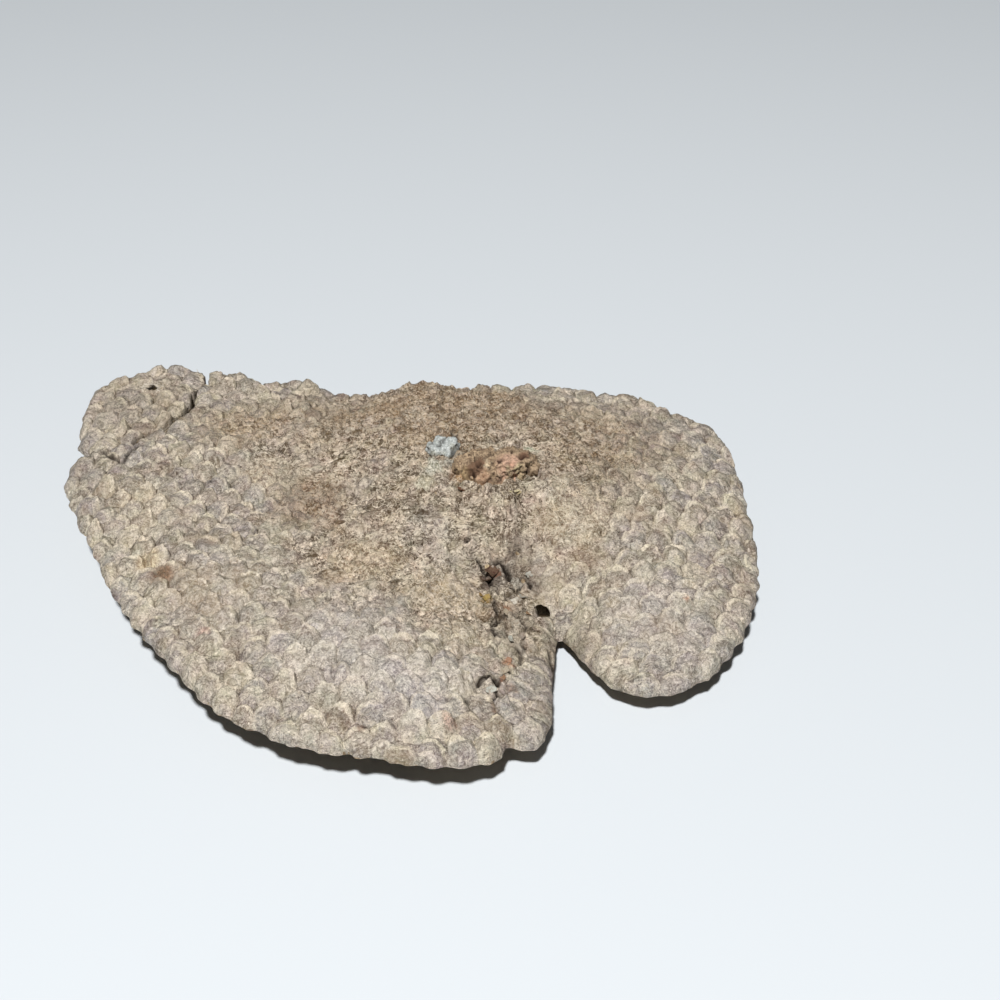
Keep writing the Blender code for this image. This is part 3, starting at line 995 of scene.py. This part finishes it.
stub = {
    "voxel": 0.42,
    "sink": 1.6,  # how far its foot goes into the roof
    "top": 44,  # it is squashed above this
    "bottom": 37.4,  # height at which it meets the roof
    "pits": [
        (25.4, 15.5, 1.7), (24.6, 9.8, 2.1), (27, 12.6, 1.3), (34, 13.4, 1.9), (42.4, 15, 1.7),
        (38.6, 18, 1.3), (35, 18.5, 1.4), (22, 5.5, 1.2), (30.6, 16.2, 1.3), (20.5, 12.5, 1.1),
        (31.6, 8, 1.1), (44.6, 11.6, 1.1),
    ],
    "stains": [
        (21, 10, 5.5, (170, 146, 108), 0.8), (37.5, 12.5, 5, (210, 172, 150), 0.9),
        (28.5, 8, 3.4, (184, 150, 124), 0.8), (26, 13, 3.6, (92, 58, 42), 0.85),
        (45, 13, 2.4, (190, 166, 138), 0.8), (41, 6.5, 4, (212, 200, 158), 0.9),
        (29.4, 12.4, 1.7, (220, 204, 176), 1), (33, 22, 2.4, (214, 206, 190), 0.9),
        (35, 5.5, 3.2, (160, 146, 142), 0.7), (42.4, 15.5, 2.6, (104, 62, 46), 0.8),
    ],
}


def pillarStub():
    lump = remeshed("pillar_stub", stub["voxel"])
    mesh = lump.data
    at = readPlaces(mesh)
    normal = readField(mesh.vertices, "normal", 3)
    raised = smoothStep(37.6, 39.5, at[:, 2])
    rough = 2.6 * (ridges(at, 3.4, 2.2) - 0.75) + 1 * grain(at, 1.6, 4.1)
    dark = np.zeros(len(at))
    warp = at[:, :2] + 0.5 * pushes(at[:, :2], 1.5, 2)
    # Pits in the stub, each with painted shade in it
    for x, y, radius in stub["pits"]:
        far = gap(warp, (x, y)) / radius
        dip = (1 - smoothStep(0.3, 1.1, far)) * smoothStep(38, 38.6, at[:, 2])
        rough -= 2 * dip
        dark = np.maximum(dark, 0.9 * dip)
    at += normal * rough[:, None] * (0.25 + 0.75 * raised[:, None])
    foot = 1 - smoothStep(stub["bottom"], 39.2 + 0.9 * grain(at, 4, 5.5, 2), at[:, 2])
    at[:, 2] -= stub["sink"] * foot
    at[:, 2] -= 0.6 * np.clip(at[:, 2] - stub["top"], 0, None)
    writePlaces(mesh, at)
    speckled = 0.7 * smoothStep(0.25, 0.6, -grain(at, 1.6, 7.7, 2))
    addMarks(mesh, dark=np.maximum(dark, speckled))
    paintStains(mesh, at[:, :2], stub["stains"])
    return lump


cake = {
    "voxel": 0.4,
    "sink": 1.4,
    "plates": 3.2,  # size of the plates between the cracks
    "back": 32,  # where its back edge is
    "spread": 1.3,  # it thins out forward, over the roof
}


def greyCake():
    lump = remeshed("grey_cake", cake["voxel"])
    mesh = lump.data
    at = readPlaces(mesh)
    normal = readField(mesh.vertices, "normal", 3)
    warp = at + 0.6 * np.column_stack([pushes(at, 2, 1), np.zeros(len(at))])
    near = [noise.voronoi(Vector((x, y, 0)))[0] for x, y, z in warp / cake["plates"]]
    cracks = 1 - smoothStep(0.03, 0.2, np.array([second - first for first, second, *_ in near]))
    raised = smoothStep(37.6, 38.6, at[:, 2])
    at += normal * (0.6 * grain(at, 2.6, 3.3) - 0.6 * cracks * raised)[:, None]
    sunk = at[:, 2] < 37.9
    at[sunk, 2] -= cake["sink"] * smoothStep(37.9, 37.3, at[sunk, 2])
    at[:, 1] = cake["back"] - (cake["back"] - at[:, 1]) * cake["spread"]
    writePlaces(mesh, at)
    # Painted shade in the cracks between the plates
    addMarks(mesh, dark=0.75 * cracks * smoothStep(-0.3, 0.3, grain(at, 4, 6.1)))
    return lump


# Loose flakes of paper in the fold: place, length, width, turn, lean, curl and colour
flakes = [
    (31.4, -19.4, 5.8, 4, 60, 25, 0.7, (74, 46, 36)),
    (29.6, -21.2, 4.4, 3.2, 150, 35, 0.9, (48, 28, 22)),
    (33, -18.4, 4.2, 2.8, 20, 40, 0.9, (112, 80, 66)),
    (30.4, -17, 2.6, 2.2, 100, 25, 0.5, (206, 186, 150)),
    (30, -29.8, 2.8, 2, 40, 30, 0.8, (164, 140, 78)),
    (28.2, -28.6, 1.8, 1.5, 120, 35, 0.6, (140, 112, 58)),
    (37, -31.4, 2.7, 1.8, 75, 30, 0.5, (156, 112, 82)),
    (37.3, -62.4, 2.9, 2, 80, 25, 0.4, (168, 126, 102)),
    (35.6, -70.2, 1.8, 1.3, 60, 30, 0.5, (150, 112, 86)),
    (44, -33.6, 2, 1.4, 110, 40, 0.7, (154, 124, 96)),
    (39.6, -28, 3, 2.2, 15, 40, 0.9, (204, 200, 190)),
    (42.4, -24.6, 3.4, 2.4, 130, 35, 0.8, (170, 170, 162)),
    (36.4, -36.2, 3.2, 2.2, 80, 45, 1, (184, 172, 152)),
    (39.4, -43, 3.4, 2.4, 30, 35, 0.8, (168, 160, 146)),
    (34.8, -47.6, 3, 2.2, 160, 40, 0.9, (210, 200, 178)),
    (41.6, -49.2, 2.8, 2, 60, 45, 0.9, (158, 148, 138)),
    (38, -55, 3, 2, 100, 35, 0.7, (186, 188, 178)),
    (36.2, -66.8, 2.6, 2, 20, 40, 0.8, (176, 166, 148)),
    (31.8, -76.8, 3.2, 2.4, 10, 30, 0.6, (188, 190, 182)),
    (46.6, -40.8, 2.8, 1.8, 140, 45, 0.9, (166, 152, 140)),
    (39.6, 4.6, 3.6, 0.8, 25, 5, 0.3, (206, 196, 160)),
    (41.6, 4.8, 3.2, 0.7, 50, 8, 0.3, (190, 178, 140)),
    (21, 3.6, 3, 2, 120, 30, 0.7, (110, 74, 56)),
    (44.2, -16.8, 2.8, 2, 50, 40, 0.8, (186, 186, 178)),
    (38.2, -22.8, 2.6, 1.9, 120, 50, 1, (150, 146, 138)),
]

# Loose fibres at the back rim, by the crack: foot, length, turn, lean and thickness
fibres = [
    (-79.5, 103.2, 3.6, 70, 50, 0.16), (-78.6, 103, 2.6, 110, 30, 0.14), (-80.4, 102.8, 2.4, 20, 60, 0.14),
    (-83, 101.6, 2.8, 130, 55, 0.15), (-76.8, 102.4, 2.2, 80, 40, 0.13), (-81.6, 98.2, 2.6, 200, 35, 0.14),
    (-84.6, 66.2, 3, 240, 30, 0.16), (-90.2, 57.4, 2.6, 20, 35, 0.14), (-104.6, 51.6, 2.8, 170, 30, 0.14),
    (-108.6, 43.4, 2.4, 60, 40, 0.14),
]


def surfaceAt(x, y):  # height of the finished roof there
    ray = roofTree.ray_cast(Vector((x * mm, y * mm, 0.1)), Vector((0, 0, -1)))
    return ray[0].z / mm if ray[0] else None


def place(part, at, tilt, colour):  # a loose bit of paper, all of one colour
    mesh = part.data
    flat = readPlaces(mesh)[:, :2]
    paintStains(mesh, flat, [(0, 0, 20, colour, 1)])
    addMarks(mesh, dark=np.zeros(len(flat)))
    part.rotation_euler = [math.radians(angle) for angle in tilt]
    part.location = [along * mm for along in at]
    bpy.ops.object.transform_apply(location=True, rotation=True, scale=True)
    dress(part, pillarMaterial)
    bpy.ops.object.shade_smooth()


def looseFlakes():
    parts = []
    dice = random.Random(8)
    for x, y, length, width, turn, lean, curl, colour in flakes:
        clearSelection()
        bpy.ops.mesh.primitive_grid_add(x_subdivisions=9, y_subdivisions=7, size=1)
        flake = bpy.context.object
        along, across = (readPlaces(flake.data) * mm)[:, :2].T
        ragged = 1 + 0.25 * grain(np.column_stack([along, across]) * 9 + x, 3, y, 2)
        bend = 2 * curl * along
        radius = length / (2 * curl)
        taper = 1 - 0.5 * (2 * along) ** 2 * dice.uniform(0.3, 1)
        plan = np.column_stack([radius * np.sin(bend) * ragged, width * across * ragged * taper])
        height = radius * (1 - np.cos(bend)) + 0.3 * grain(plan, 1.4, x, 2)
        writePlaces(flake.data, np.column_stack([plan, height]))
        thick = flake.modifiers.new("thickness", "SOLIDIFY")
        thick.thickness = 0.22 * mm
        bpy.ops.object.modifier_apply(modifier=thick.name)
        place(flake, (x, y, surfaceAt(x, y) + 0.6), (lean, dice.uniform(-20, 20), turn), colour)
        parts.append(flake)
    return joined("fold_flakes", parts)


def looseFibres():
    parts = []
    for x, y, length, turn, lean, thickness in fibres:
        foot = surfaceAt(x, y)
        if foot is None:
            continue
        clearSelection()
        sizes = {"radius1": thickness * mm, "radius2": 0.3 * thickness * mm, "depth": length * mm}
        bpy.ops.mesh.primitive_cone_add(vertices=6, **sizes)
        fibre = bpy.context.object
        startEdit(fibre)
        bpy.ops.mesh.subdivide(number_cuts=4)
        endEdit()
        at = readPlaces(fibre.data)
        up = at[:, 2] / length + 0.5
        at[:, 0] += 0.35 * length * up ** 2
        at[:, 1] += 0.12 * length * np.sin(4 * up)
        at[:, 2] += 0.5 * length
        writePlaces(fibre.data, at)
        place(fibre, (x, y, foot - 0.4), (0, lean, turn), (206, 190, 160))
        parts.append(fibre)
    return joined("loose_fibres", parts)


print("mixing the finishes")
paperMaterial = roofPaper()
cellMaterial = cellPaper()
pillarMaterial = pillarPaper()

print("tracing the packed pieces")
packedComb, packedCorner = (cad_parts[name].data for name in ("comb", "broken_corner"))
combTree = treeOf(packedComb)
cornerTree = treeOf(packedCorner)
wholeTree = treeOf(packedComb, packedCorner)
whole = Outline(wholeTree, comb["growth"])
combEdge = Outline(combTree, comb["growth"])
cornerEdge = Outline(cornerTree, (-104, 78))

print("laying out the cells")
lattice, middles = cellLattice()
edge = whole.nearest(middles)
inside = (whole.share(middles) < 1) & (gap(edge, middles) > comb["margin"])
inCorner = ~np.isnan(heightsAt(cornerTree, middles)) & inside
combSheet = cellsOf(lattice, inside & ~inCorner, "comb_paper")
cornerSheet = cellsOf(lattice, inCorner, "broken_corner_paper")
bpy.data.objects.remove(lattice)

print("building the comb and its broken corner")
paper = combPiece("comb_paper", combSheet, combEdge, combTree, 5)
corner = combPiece("broken_corner_paper", cornerSheet, cornerEdge, cornerTree, 6)
for piece, node in ((paper, "comb"), (corner, "broken_corner")):
    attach(piece, "root")
    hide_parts(node)

print("scattering loose flakes and fibres")
roofTree = treeOf(paper.data, corner.data)
for piece in (looseFlakes(), looseFibres()):
    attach(piece, "root")

print("building the stub and the cake")
for piece, material, node, slot in (
    (pillarStub(), pillarMaterial, "pillar_stub", "pillar_paper"),
    (greyCake(), greyPaper(), "grey_cake", "grey_paper"),
):
    dress(piece, material)
    choose(piece)
    bpy.ops.object.shade_smooth()
    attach(piece, "root")
    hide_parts(node)

print("setting the floor, the camera and the lights")
view = {
    "target": (0.0345, 0.021, 0.020),
    "distance": 0.65,
    "elevation": 38,
    "lens": 65.52,
}
lamp = {"turn": -97, "rise": 60, "distance": 2.2, "size": 0.16, "power": 54.5, "colour": (1, 0.985, 0.96)}
room = {"colour": (0.86, 0.93, 1, 1), "strength": 0.06}


def paleFloor():
    bpy.ops.mesh.primitive_plane_add(size=6)
    floor = bpy.context.object
    floor.name = "floor"
    finish = Finish("paleFloor", Roughness=0.6, Specular_IOR_Level=0.2)
    finish.put(finish.shader.inputs["Base Color"], (0.765, 0.815, 0.865))
    floor.data.materials.append(finish.material)


def keyLamp():
    turn, rise = math.radians(lamp["turn"]), math.radians(lamp["rise"])
    away = Vector((math.cos(rise) * math.cos(turn), math.cos(rise) * math.sin(turn), math.sin(rise)))
    place = Vector(view["target"]) + away * lamp["distance"]
    bpy.ops.object.light_add(type="AREA", location=place)
    light = bpy.context.object
    light.name = "key"
    light.rotation_euler = away.to_track_quat("Z", "Y").to_euler()
    light.data.shape = "DISK"
    light.data.size = lamp["size"]
    light.data.energy = lamp["power"]
    light.data.color = lamp["colour"]


paleFloor()
keyLamp()
world = bpy.data.worlds.new("room")
world.use_nodes = True
sky = world.node_tree.nodes["Background"].inputs
sky["Color"].default_value = room["colour"]
sky["Strength"].default_value = room["strength"]
bpy.context.scene.world = world

rise = math.radians(view["elevation"])
back = Vector((0, -math.cos(rise), math.sin(rise))) * view["distance"]
bpy.ops.object.camera_add(location=Vector(view["target"]) + back)
camera = bpy.context.object
camera.rotation_euler = (math.pi / 2 - rise, 0, 0)
camera.data.lens = view["lens"]
camera.data.sensor_width = 36
bpy.context.scene.camera = camera
bpy.context.scene.view_settings.view_transform = "Standard"

print("finished")
